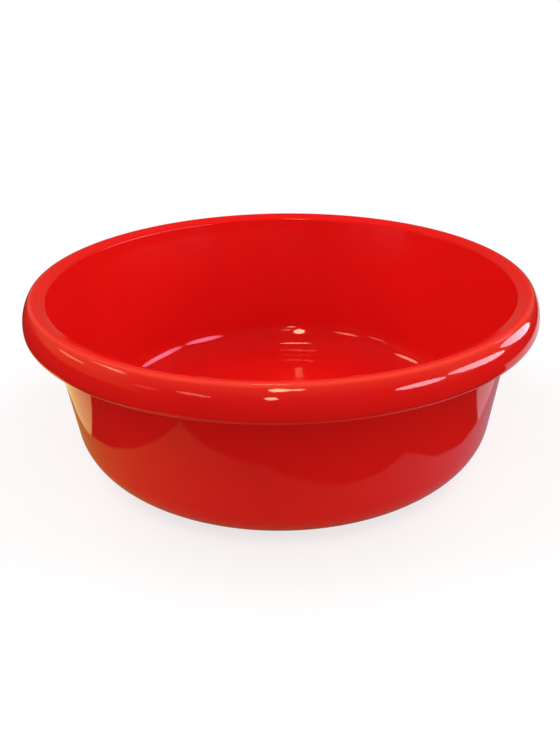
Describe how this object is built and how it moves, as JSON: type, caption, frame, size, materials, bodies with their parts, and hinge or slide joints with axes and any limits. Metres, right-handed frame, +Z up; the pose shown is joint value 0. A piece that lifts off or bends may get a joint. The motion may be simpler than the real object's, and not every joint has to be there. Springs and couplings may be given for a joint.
{
  "type": "washing up bowl",
  "caption": "Round glossy plastic washing up bowl with a flat floor, rounded corner, tapered wall and a rim rolled over outwards, open underneath for grip.",
  "frame": {"origin": "centre of the bowl on the surface it stands on", "axes": "+Z up along the bowl's axis, X and Y level; the rim's webs lie between the four main directions"},
  "size_m": [0.3599, 0.36, 0.126],
  "materials": {
    "bowl_plastic": "high gloss red polypropylene, fine moulding ripple and light scuffs"
  },
  "bodies": {
    "root": {"bowl": "bowl_plastic"}
  },
  "joints": []
}
